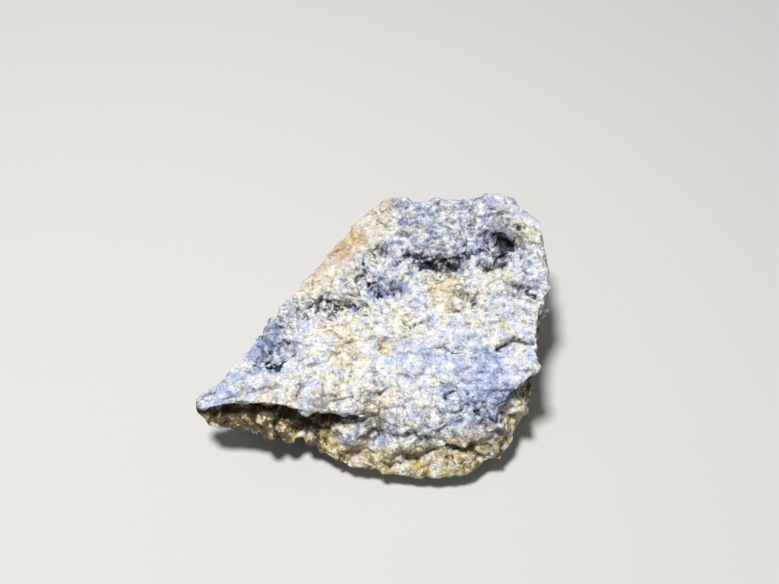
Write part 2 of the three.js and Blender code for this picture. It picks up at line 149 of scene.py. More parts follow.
# Steps in the front side, seen from the front: as above, with the line's x and z.
FRONT_STEPS = [
    (0.6, 0.7, [(-16.4, 8), (-15, 8.1)]),
    (0.5, 0.6, [(-12.2, 8.5), (-11.4, 8.4)]),
    (0.6, 0.7, [(-9.4, 8.6), (-7.8, 8.3)]),
    (0.2, 1, [(-6.4, 7.7), (-4.2, 7.8), (-2.5, 7.9), (-1.2, 8)]),
    (0.4, 0.8, [(10.3, 9.4), (12.1, 8.5), (13.2, 8.3), (14.6, 8.3), (16, 7.6)]),
    (0.2, 0.8, [(-0.8, 4.5), (0.4, 4.5), (1.4, 4.3), (3.3, 4.9), (5.4, 5), (7.7, 5.5), (9.8, 5.5),
                (12.5, 5.4)]),
    (0.2, 0.5, [(10.9, 4.6), (11.7, 4.3), (12.6, 3.7), (14.7, 4.3)]),
    (0.4, 0.8, [(-18.5, 5.5), (-17.1, 5.2), (-15.3, 5), (-14, 4.7), (-12, 4.4)]),
    (0.3, 0.8, [(-11.2, 4.2), (-9.4, 3.9), (-7.9, 3.6)]),
]

# Half the width of a step's edge, how far back its rise reaches, over what stretch it fades past
# its ends, how far in front of the line its hollow lies as a share of the hollow's width, and
# that width on the top and on the front.
STEP_EDGE = 0.35
STEP_REACH = 5.0
STEP_FADE = (-1.4, 0.8)
STEP_AHEAD = 0.7
TOP_HOLLOW = 1.1
FRONT_HOLLOW = 0.6

# How raggedly the steps wander from their lines: size of the bends, how far they reach, and a seed.
WANDER_X, WANDER_Y = (2.2, 1.1, 61), (2.2, 1.1, 68)

# How unevenly high they are along them: size, share and a seed.
UNEVEN = (2.4, 1.2, 1090)

# Broken relief: size of its swells and lumps, how far they stand out and a seed, and what all
# such noise is multiplied by, so that it spans about -1 to 1.
SWELL = (9.0, 0.45, 11)
LUMPS = (3.1, 0.5, 37)
NOISE_GAIN = 1.5

# Tilted facets: how far their middles are scattered, how crisply they meet, which way they lean
# on the whole, their size and tilt on the top and on the sides, and smaller ones on the sides.
FACET_SCATTER = 0.4
FACET_CRISPNESS = 14
FACET_LEAN = np.array([0.0, -0.4, -0.4])
FACET_SIZE, FACET_TILT, FACET_SIDE_TILT, FACET_SEED = 5.0, 0.18, 0.2, 23
BLOCK_SIZE, BLOCK_TILT, BLOCK_SEED = 2.9, 0.2, 41

# Split layers on the sides: thickness, share of it that a step takes, how far they jut, how far
# they wave, the waves' size and a seed.
LAYER_THICKNESS, LAYER_EDGE, LAYER_HEIGHT = 2.1, 0.35, 0.5
LAYER_WAVINESS, LAYER_SIZE, LAYER_SEED = 1.6, 7.0, 53

# The relief is lower along the brow, and towards the thin left tip.
BROW_STEADY = 0.75
TIP_END_X, TIP_FULL_X, TIP_LEAST = -22.0, -12.0, 0.3

# Stretches of the top face that are deeply pitted: strength, half width and the line's x and y.
PITTED = [
    (1, 1.1, [(-9.7, 1.1), (-8.7, 0.6), (-6.8, 1.4)]), (1, 1, [(-5.2, 1), (-3.9, 0.6), (-1.9, 0)]),
    (0.6, 0.7, [(-8.6, -0.1), (-7.6, -0.8)]), (0.9, 0.8, [(0.3, 9.4), (-0.2, 8.6)]),
    (1, 1, [(-1.4, 5.6), (-1.5, 3.9), (-0.8, 3.1), (0.6, 1.9)]), (0.9, 0.8, [(1.6, 3.2), (2.5, 3.2)]),
    (1, 1, [(2.6, 8.5), (4.6, 8)]), (1.6, 1.3, [(6, 7), (7.3, 6.8), (8.4, 6.9), (9.3, 7.1)]),
    (1.1, 1.1, [(11.8, 7.9), (12.8, 8.3), (13.6, 8.3)]), (1.2, 1.3, [(14, 10), (15.2, 9.6), (16.6, 9.6)]),
    (1.2, 1, [(16.7, 9.2), (16.3, 8), (15.2, 7.2)]), (0.9, 0.7, [(7.5, 4.6), (8.2, 4.3)]),
    (0.9, 0.8, [(11.8, 12.1), (12.5, 12.3)]), (0.8, 0.6, [(14, 13.6), (14.4, 13.6)]),
    (0.7, 0.8, [(6.5, 15.1), (7.7, 14.4)]), (0.6, 0.8, [(2.1, 12.3), (2.8, 12.7)]),
    (0.8, 0.9, [(16.9, 12.3), (17.7, 12.9)]), (0.7, 1.2, [(18.7, 12.2), (19, 9.2)]),
    (0.8, 1.2, [(10.5, 2.4), (11.5, 1.4), (12.3, 0.5)]),
    (0.9, 0.9, [(17.3, 3.1), (18.7, 2.5), (19.2, 2.6)]), (0.9, 0.9, [(19.4, 1.3), (20, 1)]),
    (0.9, 1, [(-13.5, -4.1), (-12.2, -4.7), (-10.9, -4.8)]),
    (0.8, 0.7, [(-14.4, -6.1), (-12.5, -6.3), (-11.9, -6.9)]), (0.7, 0.7, [(-15.9, -7.6), (-14.3, -7.5)]),
    (0.5, 0.7, [(-8.8, -6.1), (-8.2, -6.2)]), (0.5, 0.7, [(-3, -5.4), (-2.4, -5.7)]),
    (0.5, 0.7, [(-5.1, -11.3), (-4.6, -11.8)]), (0.4, 0.7, [(4.5, -9.3), (5.2, -9.7)]),
    (0.9, 0.9, [(8.2, -11.2), (9.4, -11.9), (10.8, -12.2), (12.6, -12.8)]),
    (1, 0.9, [(12.8, -13.1), (14.4, -13.5), (15.8, -13)]),
]

# Flakes, drawn out sideways: size as a share of the largest, a seed, and tilt as a share of the
# steepest, and how crisply they meet.
FLAKE_STRETCH = np.array([0.75, 1.0, 1.0])
FLAKES = [(1, 113, 1), (0.5, 127, 0.8), (0.26, 149, 0.8)]
FLAKE_CRISPNESS = 34

# The small lumps' seed.
KNOB_SEED = 71

# Pits, drawn out sideways: size as a share of the largest, how much it counts, and a seed.
PIT_STRETCH = np.array([0.7, 1.0, 1.0])
PIT_NOISES = [(1, 0.7, 83), (0.5, 0.8, 89)]

# Creases, drawn out sideways: the blocks' size as a share of the largest, the creases' width, how
# much deeper they are on the sides, and a seed. On top they are shallow.
CREASE_STRETCH = np.array([0.8, 0.8, 1.5])
CREASES = [(1, 0.16, 0.6, 167), (0.55, 0.2, 0.4, 173)]
CREASE_ON_TOP = 0.12

# By what share the fine relief is lower: on the sides, low on them, in the lower creases, on the
# bevel and along the brow.
SIDE_CALM, LOW_CALM, LOW_SHALLOW, BEVEL_CALM, BROW_CALM = 0.3, 0.4, 0.6, 0.3, 0.2

# Cracks in the top face: half width, depth and the line's x and y.
CRACKS = [
    (0.22, 1.5, [(14.6, -5.5), (15.9, -4.7), (16.7, -4.1), (17.9, -4.6), (19.6, -4.9)]),
    (0.18, 0.7, [(3.4, -1.9), (4.1, -2.5), (5.8, -1.4), (6.7, -0.9)]),
]


def smoothstep(x, start, end):
    """0 below start, 1 above end, and 3t^2 - 2t^3 between them."""
    t = np.clip((x - start) / (end - start), 0.0, 1.0)
    return t * t * (3 - 2 * t)


def chance(cells, seed):
    """A repeatable number from 0 to 1 for each cell: its three whole numbers are mixed bit by bit."""
    ix, iy, iz = (cells[..., k].astype(np.int64).astype(np.uint32) for k in range(3))
    bits = ix * np.uint32(374761393) + iy * np.uint32(668265263) + iz * np.uint32(1440662683)
    bits = (bits + np.uint32(seed * 974634777 & 0xFFFFFFFF)) * np.uint32(1274126177)
    bits = (bits ^ (bits >> np.uint32(15))) * np.uint32(1103515245)
    bits = (bits ^ (bits >> np.uint32(13))) * np.uint32(1597334677)
    return (bits ^ (bits >> np.uint32(16))).astype(np.float64) / 2**32


def chance_vector(cells, seed):
    """Three repeatable numbers from -1 to 1 for each cell."""
    return np.stack([chance(cells, seed + k) for k in range(3)], axis=-1) * 2 - 1


def near_cells(base, low, high):
    """Yields every cell whose offset from base lies between low and high on each axis, with the offset."""
    span = range(low, high + 1)
    for offset in ((dx, dy, dz) for dx in span for dy in span for dz in span):
        yield base + np.array(offset, float), offset


def smooth_noise(points, size, seed):
    """Gradient noise from about -1 to 1: each corner of a cell has a slope, and the eight slopes' heights
    are blended with 6t^5 - 15t^4 + 10t^3."""
    place = points / size
    base = np.floor(place)
    part = place - base
    blend = part**3 * (part * (part * 6 - 15) + 10)
    total = np.zeros(len(points))
    for cells, offset in near_cells(base, 0, 1):
        share = np.where(np.array(offset) == 1, blend, 1 - blend).prod(axis=1)
        total += share * (chance_vector(cells, seed) * (place - cells)).sum(axis=1)
    return total * NOISE_GAIN


def scaled_noise(points, size, height, seed):
    return smooth_noise(points, size, seed) * height


def facet_relief(points, size, seed, crispness=FACET_CRISPNESS):
    """Space is parted into cells round scattered middles. Each cell's height is its own slope times the
    way from its middle, and the cells blend with weights exp(-k d^2)."""
    place = points / size
    base = np.floor(place)
    height = np.zeros(len(points))
    total = np.zeros(len(points))
    for cells, _ in near_cells(base, -1, 1):
        away = place - (cells + 0.5 + chance_vector(cells, seed) * FACET_SCATTER)
        weight = np.exp(-crispness * (away**2).sum(axis=1))
        height += weight * ((chance_vector(cells, seed + 3) + FACET_LEAN) * away).sum(axis=1) * size
        total += weight
    return height / total


def layer_relief(points):
    """Split layers: a step in or out at each seam, whose level is the height plus a wave."""
    wave = smooth_noise(points, LAYER_SIZE, LAYER_SEED) * LAYER_WAVINESS
    level = (points[:, 2] + wave) / LAYER_THICKNESS
    layer = np.floor(level)
    edge = smoothstep(level - layer, 0, LAYER_EDGE)

    def jut(index):
        cells = np.zeros((len(points), 3))
        cells[:, 0] = index
        return chance(cells, LAYER_SEED) - 0.5

    return jut(layer - 1) + (jut(layer) - jut(layer - 1)) * edge


def step_relief(x, y, rise, depth, line, width):
    """Behind the line the surface rises by a smoothstep and falls off exponentially, and in front of it
    there is a hollow with the shape exp(-u^2). Both fade past the line's ends. Gives the rise less the
    hollow, and the hollow."""
    line_x, line_y = np.array(line).T
    across = y - np.interp(x, line_x, line_y)
    inside = smoothstep(np.minimum(x - line_x[0], line_x[-1] - x), *STEP_FADE)
    raised = rise * smoothstep(across, -STEP_EDGE, STEP_EDGE) * np.exp(-np.maximum(across, 0) / STEP_REACH)
    hollow = depth * np.exp(-((across / width + STEP_AHEAD) ** 2))
    return np.stack([raised - hollow, hollow]) * inside


def way_to_line(x, y, line):
    """The distance from each point to a line of straight stretches."""
    best = np.full(len(x), np.inf)
    for start, end in zip(np.array(line[:-1], float), np.array(line[1:], float)):
        along = end - start
        share = ((x - start[0]) * along[0] + (y - start[1]) * along[1]) / (along @ along)
        share = np.clip(share, 0, 1)
        best = np.minimum(best, np.hypot(x - start[0] - share * along[0], y - start[1] - share * along[1]))
    return best


def surveyed_outline():
    """The stations with each one's outward direction and its share of the way round, which goes half by
    the length of the outline and half by the turn about the crown."""
    rows = np.array(STATIONS)
    after, before = np.roll(rows, -1, axis=0), np.roll(rows, 1, axis=0)
    outward = np.stack([after[:, 1] - before[:, 1], before[:, 0] - after[:, 0]], axis=1)
    outward /= np.linalg.norm(outward, axis=1, keepdims=True)
    angle = np.arctan2(rows[:, 1] - CROWN[1], rows[:, 0] - CROWN[0])
    turn = (np.roll(angle, -1) - angle) % (2 * np.pi)
    step = np.hypot(*(after - rows)[:, :2].T) / OUTLINE_LENGTH + turn / (2 * np.pi)
    share = np.concatenate([[0], np.cumsum(step) / step.sum()])
    table = np.hstack([rows, outward])
    return share, np.vstack([table, table[:1]])


def top_plane(x, y):
    return TOP_HEIGHT + TOP_SLOPE_RIGHT * x + TOP_SLOPE_BACK * y


def section_points(stations, along):
    """Points on sections through the stations. On top they run straight from the crown to the brow and
    leave the top plane by a power of the way. Down the side they run straight from ring to ring, and
    underneath the height falls by a power of the way in."""
    brow_xy, outward = stations[:, :2], stations[:, 8:10]
    brow_z, recess_in, ledge_in, ledge_z, foot_in, foot_z = stations[:, 2:8].T

    def ring(inset, z):
        return np.column_stack([brow_xy - outward * inset[:, None], z])

    def passed(start, end):
        return np.clip((along - start) / (end - start), 0, 1)[:, None]

    brow = ring(np.zeros(len(along)), brow_z)
    recess = ring(recess_in, brow_z + (ledge_z - brow_z) * RECESS_DROP)
    ledge = ring(ledge_in, ledge_z)
    foot = ring(foot_in, foot_z)
    points = brow + (recess - brow) * passed(BROW, RECESS) + (ledge - recess) * passed(RECESS, LEDGE)
    points += (foot - ledge) * passed(LEDGE, FOOT)
    inward = passed(FOOT, UNDER)[:, 0]
    under_xy = foot[:, :2] + (SOLE[:2] - foot[:, :2]) * inward[:, None]
    under = np.column_stack([under_xy, SOLE[2] + (foot_z - SOLE[2]) * (1 - inward) ** UNDER_CURVE])
    points = np.where(along[:, None] > FOOT, under, points)
    top_xy = CROWN + (brow_xy - CROWN) * along[:, None]
    sag = brow_z - top_plane(*brow_xy.T)
    top = np.column_stack([top_xy, top_plane(*top_xy.T) + sag * np.minimum(along, 1) ** TOP_CURVE])
    return np.where(along[:, None] <= BROW, top, points)


def form_points(share, along):
    """The sections' points, averaged along the section with weights 1, 2 and 1, which rounds the edges."""
    at, table = surveyed_outline()
    stations = np.column_stack([np.interp(share % 1, at, column) for column in table.T])
    before = section_points(stations, np.maximum(along - EDGE_ROUNDING, 0))
    after = section_points(stations, np.minimum(along + EDGE_ROUNDING, UNDER))
    return (section_points(stations, along) * 2 + before + after) / 4


def disc_grid(cells):
    """A square grid of the given number of cells carried to a disc: each corner's way out is the larger
    of its two coordinates, and its share of the way round goes evenly along the square's sides."""
    b, a = np.meshgrid(*(np.linspace(-1, 1, cells + 1),) * 2, indexing="ij")
    a, b = a.ravel(), b.ravel()
    out = np.maximum(np.abs(a), np.abs(b))
    with np.errstate(divide="ignore", invalid="ignore"):
        upright = b / a + np.where(a < 0, 4, 0)
        level = 2 - a / b + np.where(b < 0, 4, 0)
    turn = np.where(np.abs(a) > np.abs(b), upright, level)
    return out, np.where(out == 0, 0, turn) % 8 / 8


def sheet_triangles(cells):
    """Two triangles for each cell of the square grid, parted along the diagonal that runs outwards."""
    j, i = np.divmod(np.arange(cells * cells), cells)
    p = j * (cells + 1) + i
    q, r, s = p + 1, p + cells + 2, p + cells + 1
    outwards = ((2 * i + 1 - cells) * (2 * j + 1 - cells) > 0)[:, None]
    first = np.where(outwards, np.column_stack([p, q, r]), np.column_stack([q, r, s]))
    second = np.where(outwards, np.column_stack([p, r, s]), np.column_stack([q, s, p]))
    return np.vstack([first, second])


def closed_surface(cells):
    """The top sheet and the one below it, which share the corners along the brow: places on the outline,
    places on the section, and triangles that face outwards."""
    out, share = disc_grid(cells)
    top = sheet_triangles(cells)
    count = len(out)
    below = np.arange(count) + count
    below[out == 1] = np.nonzero(out == 1)[0]
    under = below[top[:, ::-1]]
    used, triangles = np.unique(np.vstack([top, under]), return_inverse=True)
    share, along = np.tile(share, 2)[used], np.concatenate([out, 2 - out])[used]
    return share, along, triangles.reshape(-1, 3)


def outward_normals(points, triangles):
    """Each corner's normal: the sum of its triangles' area vectors, made one long."""
    a, b, c = (points[triangles[:, k]] for k in range(3))
    area = np.cross(b - a, c - a)
    total = np.column_stack([
        sum(np.bincount(triangles[:, k], area[:, axis], len(points)) for k in range(3)) for axis in range(3)
    ])
    return total / np.maximum(np.linalg.norm(total, axis=1, keepdims=True), 1e-12)


def broken_relief(points, normals, along):
    """The relief that the solid has too, as a height along the normal: swells, lumps and tilted facets,
    with smaller facets and split layers on the sides, and uneven steps in the top and the front. Also
    gives the depth of the steps' hollows."""
    top = 1 - smoothstep(along, *STEPS_END)
    side = smoothstep(along, *SIDES_START) * (1 - smoothstep(along, *SIDES_END))
    front = side * smoothstep(-normals[:, 1], *FRONT_FACING)
    steady = 1 - BROW_STEADY * np.exp(-(((along - BROW) / 0.1) ** 2))
    swell, lumps = scaled_noise(points, *SWELL), scaled_noise(points, *LUMPS)
    tilt = FACET_TILT + (FACET_SIDE_TILT - FACET_TILT) * side
    facets = facet_relief(points, FACET_SIZE, FACET_SEED) * tilt
    facets += facet_relief(points, BLOCK_SIZE, BLOCK_SEED) * BLOCK_TILT * side
    layers = layer_relief(points) * LAYER_HEIGHT * side
    wander_x, wander_y = scaled_noise(points, *WANDER_X), scaled_noise(points, *WANDER_Y)
    x, y, z = points[:, 0] + wander_x, points[:, 1] + wander_y, points[:, 2] + wander_y
    steps = sum(step_relief(x, y, *step, TOP_HOLLOW) for step in TOP_STEPS) * top
    steps += sum(step_relief(x, z, *step, FRONT_HOLLOW) for step in FRONT_STEPS) * front
    steps *= np.maximum(1 + scaled_noise(points, *UNEVEN), 0)
    tip = TIP_LEAST + (1 - TIP_LEAST) * smoothstep(points[:, 0], TIP_END_X, TIP_FULL_X)
    return (swell + lumps + facets + layers) * steady * tip + steps[0], steps[1]


def pitting(points, along, sizes):
    """How deep the surface is pitted, from 0 to 1: two sizes of noise, drawn out sideways, that pass a
    threshold which the pitted stretches lower. Also gives how strongly each place is pitted."""
    x, y, _ = points.T
    top = 1 - smoothstep(along, *PITS_END)
    stretches = sum(
        strength * np.exp(-((way_to_line(x, y, line) / width) ** 2)) for strength, width, line in PITTED
    ) * top
    drawn = points * PIT_STRETCH
    noise = sum(
        share * smooth_noise(drawn, sizes.pit_size * part, seed) for part, share, seed in PIT_NOISES
    )
    return smoothstep(noise + stretches * 0.8, 0.55, 1.25), np.minimum(stretches, 1.6)


def creases(points, size, width, seed):
    """Thin broken lines, from 0 to 1: exp(-(n / width)^2) of one noise, kept where another is high."""
    line = np.exp(-((smooth_noise(points, size, seed) / width) ** 2))
    return line * smoothstep(smooth_noise(points, size * 1.2, seed + 7), -0.15, 0.35)


def fine_relief(points, along, bevel, sizes):
    """The relief that is too fine for the solid, as a height along the normal: round lumps and leaning
    flakes, less creases between blocks, pits and cracks. It is calmer on the bevel, along the brow, on
    the sides and low on them. Also gives how deep the creases, pits and cracks are."""
    x, y, _ = points.T
    top = 1 - smoothstep(along, *CRACKS_END)
    side = smoothstep(along, *SIDES_START)
    low = smoothstep(along, *LOW_START)
    knobs = scaled_noise(points, sizes.knob_size, sizes.knob_height, KNOB_SEED)
    drawn = points * FLAKE_STRETCH
    flakes = sum(
        facet_relief(drawn, sizes.flake_size * part, seed, FLAKE_CRISPNESS) * tilt
        for part, seed, tilt in FLAKES
    )
    pits, stretches = pitting(points, along, sizes)
    pits = pits * sizes.pit_depth * (1 + stretches * 0.5)
    rough = 0.8 + 0.6 * np.minimum(stretches, 1)
    rough *= 1 - BROW_CALM * np.exp(-(((along - BROW) / 0.05) ** 2))
    rough *= (1 - SIDE_CALM * side) * (1 - LOW_CALM * low)
    drawn = points * CREASE_STRETCH
    seams = sum(
        creases(drawn, sizes.block_size * part, width, seed) * (CREASE_ON_TOP + deeper * side)
        for part, width, deeper, seed in CREASES
    ) * sizes.crease_depth
    cracks = top * sum(
        depth * np.exp(-((way_to_line(x, y, line) / half) ** 2)) for half, depth, line in CRACKS
    )
    deep = (pits + seams) * (1 - LOW_SHALLOW * low)
    raised = (knobs + flakes * sizes.flake_tilt) * rough
    return (raised - deep) * (1 - BEVEL_CALM * bevel) - cracks, deep + cracks


# ---------- Where the colours lie ----------

# Soft patches on the top face where one mineral prevails: x, y, radius and strength.
BLUE_PATCHES = [
    (-18.6, -10.9, 3.4, 1.1), (-13.4, -10, 3, 0.3), (-13, -2.9, 3.4, 1), (-7.4, -6, 2.2, 0.4),
    (0.6, 3.6, 3, 0.8), (3.3, -7.2, 4.2, 0.8), (4.1, 13, 3.8, 0.4), (6, 1.6, 1.8, 0.6),
    (6.8, -3.2, 2.8, 0.9), (9.6, 9.6, 4.2, 0.5), (11, -6.4, 2.8, 0.6), (12.4, 14.6, 4.6, 0.5),
    (12.7, -9.2, 4.5, 0.9), (13.9, -12, 3, 0.8), (16.2, 8.4, 3, 0.7), (18, -1.6, 2.2, 0.8),
    (19.7, 4.2, 2.6, 0.5),
]
CREAM_PATCHES = [
    (-6.5, -9.2, 4, 0.6), (-3.8, -3.9, 4, 1), (-2.2, 0.6, 2, 0.6), (0.4, -10.2, 3, 0.7),
    (0.4, 13.4, 2.6, 0.7), (4, -3, 3, 0.8), (6.6, -11.2, 3, 0.7), (7.7, 3.6, 3.2, 0.9),
    (9, 1.6, 2.4, 0.7), (9, 8.3, 1.6, 0.6), (11.6, -1.6, 2.2, 0.9), (12, 11.6, 1.6, 0.5),
    (15, 5, 3.2, 0.6), (15.6, -4.4, 1.8, 0.6), (18.2, 3.6, 1.8, 0.5), (19.4, 11.4, 2.4, 0.9),
]
OCHRE_PATCHES = [
    (-16.4, -11.2, 1.3, 0.5), (-15.6, -7.7, 0.9, 0.4), (-13.4, -11.7, 1.2, 0.5), (-13, -10.6, 1.5, 0.35),
    (-10.1, -12, 1.6, 0.6), (-6.4, -12.4, 1.4, 0.5), (-3.9, 0.6, 1.2, 0.35), (-3.4, -4, 1.2, 0.4),
    (-3.2, 10.6, 1.5, 0.55), (-0.2, -12.5, 1.7, 0.6), (1.2, -4.8, 1.5, 0.7), (8.2, 4.6, 1.3, 0.4),
    (9.2, 2.2, 1.4, 0.3), (11.4, 1.4, 1.2, 0.3), (15.3, -3.3, 1.2, 0.35), (16.4, -13.2, 1.4, 0.4),
    (19, 11, 2.6, 0.6),
]

# Places on the top face that are darkly speckled: x, y, radius and strength.
SPECKLED = [
    (-18.6, -10.9, 2.6, 0.2), (-12.8, -2.6, 2.9, 0.8), (-7, 1.4, 3.6, 0.4), (-6.4, -12.3, 1.5, 0.9),
    (-3.6, -6.6, 2.2, 0.15), (-1.6, -12.6, 3, 0.3), (0.6, 3.6, 3.4, 0.4), (3.2, -1, 1.7, 0.45),
    (4.1, 13, 4.6, 0.5), (6, -13.6, 3.6, 0.15), (6.2, 1.2, 1.3, 0.35), (8.4, 8.6, 4.4, 0.35),
    (9.3, 6.4, 1.9, 0.5), (12, 1.6, 3, 0.35), (12.4, 14.6, 4.6, 0.45), (13.9, -12, 3.6, 0.4),
    (15.4, 7, 1.8, 0.5), (16.2, 10.4, 2.6, 0.9), (18.6, 2.6, 2.8, 0.3), (19, 9.4, 1.8, 0.4),
]

# The bevel's middle line and half width, and where it is peach rather than cream: x, y, radius
# and strength.
BEVEL_LINE = [(-0.8, 14), (-2.6, 11.6), (-4.4, 8.4), (-7.4, 5)]
BEVEL_WIDTH = 4.4
PEACH_PATCHES = [(-3.2, 10.4, 1.6, 0.9), (-4.6, 8.6, 1.2, 0.6), (-7.2, 5.6, 1.2, 0.4)]

# Noise that the masks share, as sizes, shares and seeds, and the noise that bends the bevel's edge.
MOTTLE = [(5.5, 1, 131), (2.4, 0.5, 137)]
BEVEL_WAVE = (3.2, 0.9, 141)

# The ledges under the left tip lie to the left of a place and in front of another, each with the
# width of its edge. They are stained ochre and darkened in blotches that are drawn out sideways.
LEDGES_LEFT = (-10.0, -2.5)
LEDGES_FRONT = (8.0, 10.0)
BLOTCH_STRETCH = np.array([0.4, 1.0, 1.4])
BLOTCH_SIZE, BLOTCH_SEED = 1.3, 151

# The stain covers what lies below a level that rises to both sides: its least height, where that
# is, the rise, and the height over which it fades.
STAIN_HEIGHT = 5.6
STAIN_MIDDLE = -2.0
STAIN_RISE = 0.14
STAIN_FADE = 2.2

# What the parts of each mask count for.
BLUE_PATCH, BLUE_MOTTLE = 0.32, 0.28
LEVEL_MOTTLE = 1.6
OCHRE_SIDE, OCHRE_LEDGE, OCHRE_MOTTLE = 0.72, 0.45, 0.25
# Parts of the hollow mask: dirt and painted shade in the steps' hollows and pits; painted shade under the
# brow, and dark blotches on the ledges; all less on the sides.
STEP_SHADE_AND_DIRT, PIT_SHADE_AND_DIRT, COVER_SHADE_AND_DIRT, SIDE_LESS_DARKENED = 0.35, 0.7, 0.95, 0.35
PEACH_LEAST, PEACH_MOTTLE, PEACH_PATCH = 0.45, 0.3, 0.6
SPECKLE_LEAST, SPECKLE_PATCH, SPECKLE_SIDE, SPECKLE_MOTTLE = 0.05, 0.8, 0.2, 0.15
BEVEL_CLEARER = 0.35


def patches(x, y, places):
    """The sum of soft round patches, each strength times exp(-(distance / radius)^2)."""
    return sum(
        strength * np.exp(-((x - middle_x) ** 2 + (y - middle_y) ** 2) / radius**2)
        for middle_x, middle_y, radius, strength in places
    )


def bevel_mask(points, along):
    """1 on the smooth bevel along the back left edge, and 0 a little way in from it."""
    x, y, _ = points.T
    way = way_to_line(x, y, BEVEL_LINE) + scaled_noise(points, *BEVEL_WAVE)
    near = 1 - smoothstep(way, BEVEL_WIDTH * 0.45, BEVEL_WIDTH)
    return near * (1 - smoothstep(along, 1.0, 1.2))


def overhang_shade_mask(share, along):
    """How far a place lies under the brow, where the rock is darkened with painted shade: its inset from
    the brow, from 0 to 1.5 mm, above the foot.
    """
    at, table = surveyed_outline()
    recess_in, ledge_in = (np.interp(share % 1, at, table[:, column]) for column in (3, 4))
    to_recess = np.clip((along - BROW) / (RECESS - BROW), 0, 1)
    to_ledge = np.clip((along - RECESS) / (LEDGE - RECESS), 0, 1)
    inset = recess_in * to_recess + (ledge_in - recess_in) * to_ledge
    return smoothstep(inset, 0.0, 1.5) * smoothstep(along, 1.0, 1.05) * (1 - smoothstep(along, LEDGE, 1.5))


def colour_masks(points, along, steps, pits, overhang_shade, bevel):
    """Masks for the colours, each a weighted sum of soft patches, noise and zones of the section: blue
    against cream, ochre stain, the bevel and its peach part, dark speckle, and darkening. The darkening
    is dirt and painted shade where steps and pits are deep, painted shade under the brow, and dark
    blotches on the ledges under the left tip."""
    x, y, z = points.T
    top = 1 - smoothstep(along, *COLOURS_END)
    side = smoothstep(along, *STAIN_START)
    mottle = sum(scaled_noise(points, *part) for part in MOTTLE)
    blue = (patches(x, y, BLUE_PATCHES) - patches(x, y, CREAM_PATCHES)) * BLUE_PATCH * top
    blue = 0.5 + blue + mottle * BLUE_MOTTLE
    above = z - STAIN_HEIGHT - STAIN_RISE * np.abs(x - STAIN_MIDDLE) + mottle * LEVEL_MOTTLE
    ledges = (1 - smoothstep(x, *LEDGES_LEFT)) * smoothstep(-y, *LEDGES_FRONT)
    ledges *= smoothstep(along, 1.05, 1.2)
    ochre = (1 - smoothstep(above, -STAIN_FADE, STAIN_FADE)) * side * OCHRE_SIDE + OCHRE_LEDGE * ledges
    ochre += patches(x, y, OCHRE_PATCHES) * top + smoothstep(mottle, 0.4, 1.0) * OCHRE_MOTTLE
    sunk = STEP_SHADE_AND_DIRT * smoothstep(steps, 0.3, 1.6) + PIT_SHADE_AND_DIRT * smoothstep(pits, 0.05, 0.6)
    sunk *= 1 - SIDE_LESS_DARKENED * side
    blotches = smooth_noise(points * BLOTCH_STRETCH, BLOTCH_SIZE, BLOTCH_SEED)
    blotches = ledges * smoothstep(blotches, -0.6, 0.0)
    # The share left undarkened by the hollows' dirt and painted shade, the brow's painted shade and the
    # ledges' blotches.
    clean = (1 - np.minimum(sunk, 1)) * (1 - COVER_SHADE_AND_DIRT * overhang_shade) * (1 - COVER_SHADE_AND_DIRT * blotches)
    hollow = (1 - clean) * (0.88 + 0.12 * side)
    peach = PEACH_LEAST + PEACH_MOTTLE * mottle + PEACH_PATCH * patches(x, y, PEACH_PATCHES)
    speckle = SPECKLE_LEAST + patches(x, y, SPECKLED) * SPECKLE_PATCH * top + SPECKLE_SIDE * side
    speckle += smoothstep(mottle, 0.1, 0.9) * SPECKLE_MOTTLE
    speckle *= 1 - BEVEL_CLEARER * bevel
    return dict(blue=blue, ochre=ochre, bevel=bevel, peach=peach, speckle=speckle, hollow=hollow)


def fit_to_box(points, box):
    """Each axis is stretched evenly so that the points' box is the given one."""
    low, high = points.min(axis=0), points.max(axis=0)
    target_low, target_high = np.array(box[0]), np.array(box[1])
    return target_low + (points - low) / (high - low) * (target_high - target_low)


def triangle_mesh(name, points, triangles, masks):
    """A mesh object of the given corners and triangles, with one number attribute for each mask."""
    mesh = bpy.data.meshes.new(name)
    mesh.vertices.add(len(points))
    mesh.vertices.foreach_set("co", points.astype(np.float32).ravel())
    mesh.loops.add(triangles.size)
    mesh.loops.foreach_set("vertex_index", triangles.astype(np.int32).ravel())
    mesh.polygons.add(len(triangles))
    mesh.polygons.foreach_set("loop_start", np.arange(0, triangles.size, 3, dtype=np.int32))
    mesh.polygons.foreach_set("use_smooth", np.ones(len(triangles), bool))
    for key, values in masks.items():
        attribute = mesh.attributes.new(key, "FLOAT", "POINT")
        attribute.data.foreach_set("value", np.asarray(values, np.float32))
    mesh.update(calc_edges=True)
    mesh.validate()
    piece = bpy.data.objects.new(name, mesh)
    bpy.context.scene.collection.objects.link(piece)
    return piece


# ---------- Materials ----------

# Grains: how finely and how far their edges are bent, how much finer the small ones are, and the
# size and height of the clouds that darken and raise whole groups of them.
BENDS_PER_MM, BEND = 3.1, 0.6
FINER = 2.1
CLOUDS_PER_MM, CLOUD_HEIGHT = 1.15, 0.14

# How much of a grain's shade is its own, its cloud's and the small grain's, and what is taken off.
OWN_SHADE, CLOUD_SHADE, FINE_SHADE, SHADE_LESS = 0.12, 1.35, 0.14, 0.32

# The light that a shade lets through, from dark edges and gaps to clean faces.
SHADES = [
    (0, (0.26, 0.28, 0.33)), (0.18, (0.46, 0.48, 0.53)), (0.36, (0.7, 0.71, 0.75)),
    (0.52, (0.85, 0.85, 0.87)), (0.85, (1, 1, 1)),
]
ROUGHEST, SMOOTHEST = 0.85, 0.42

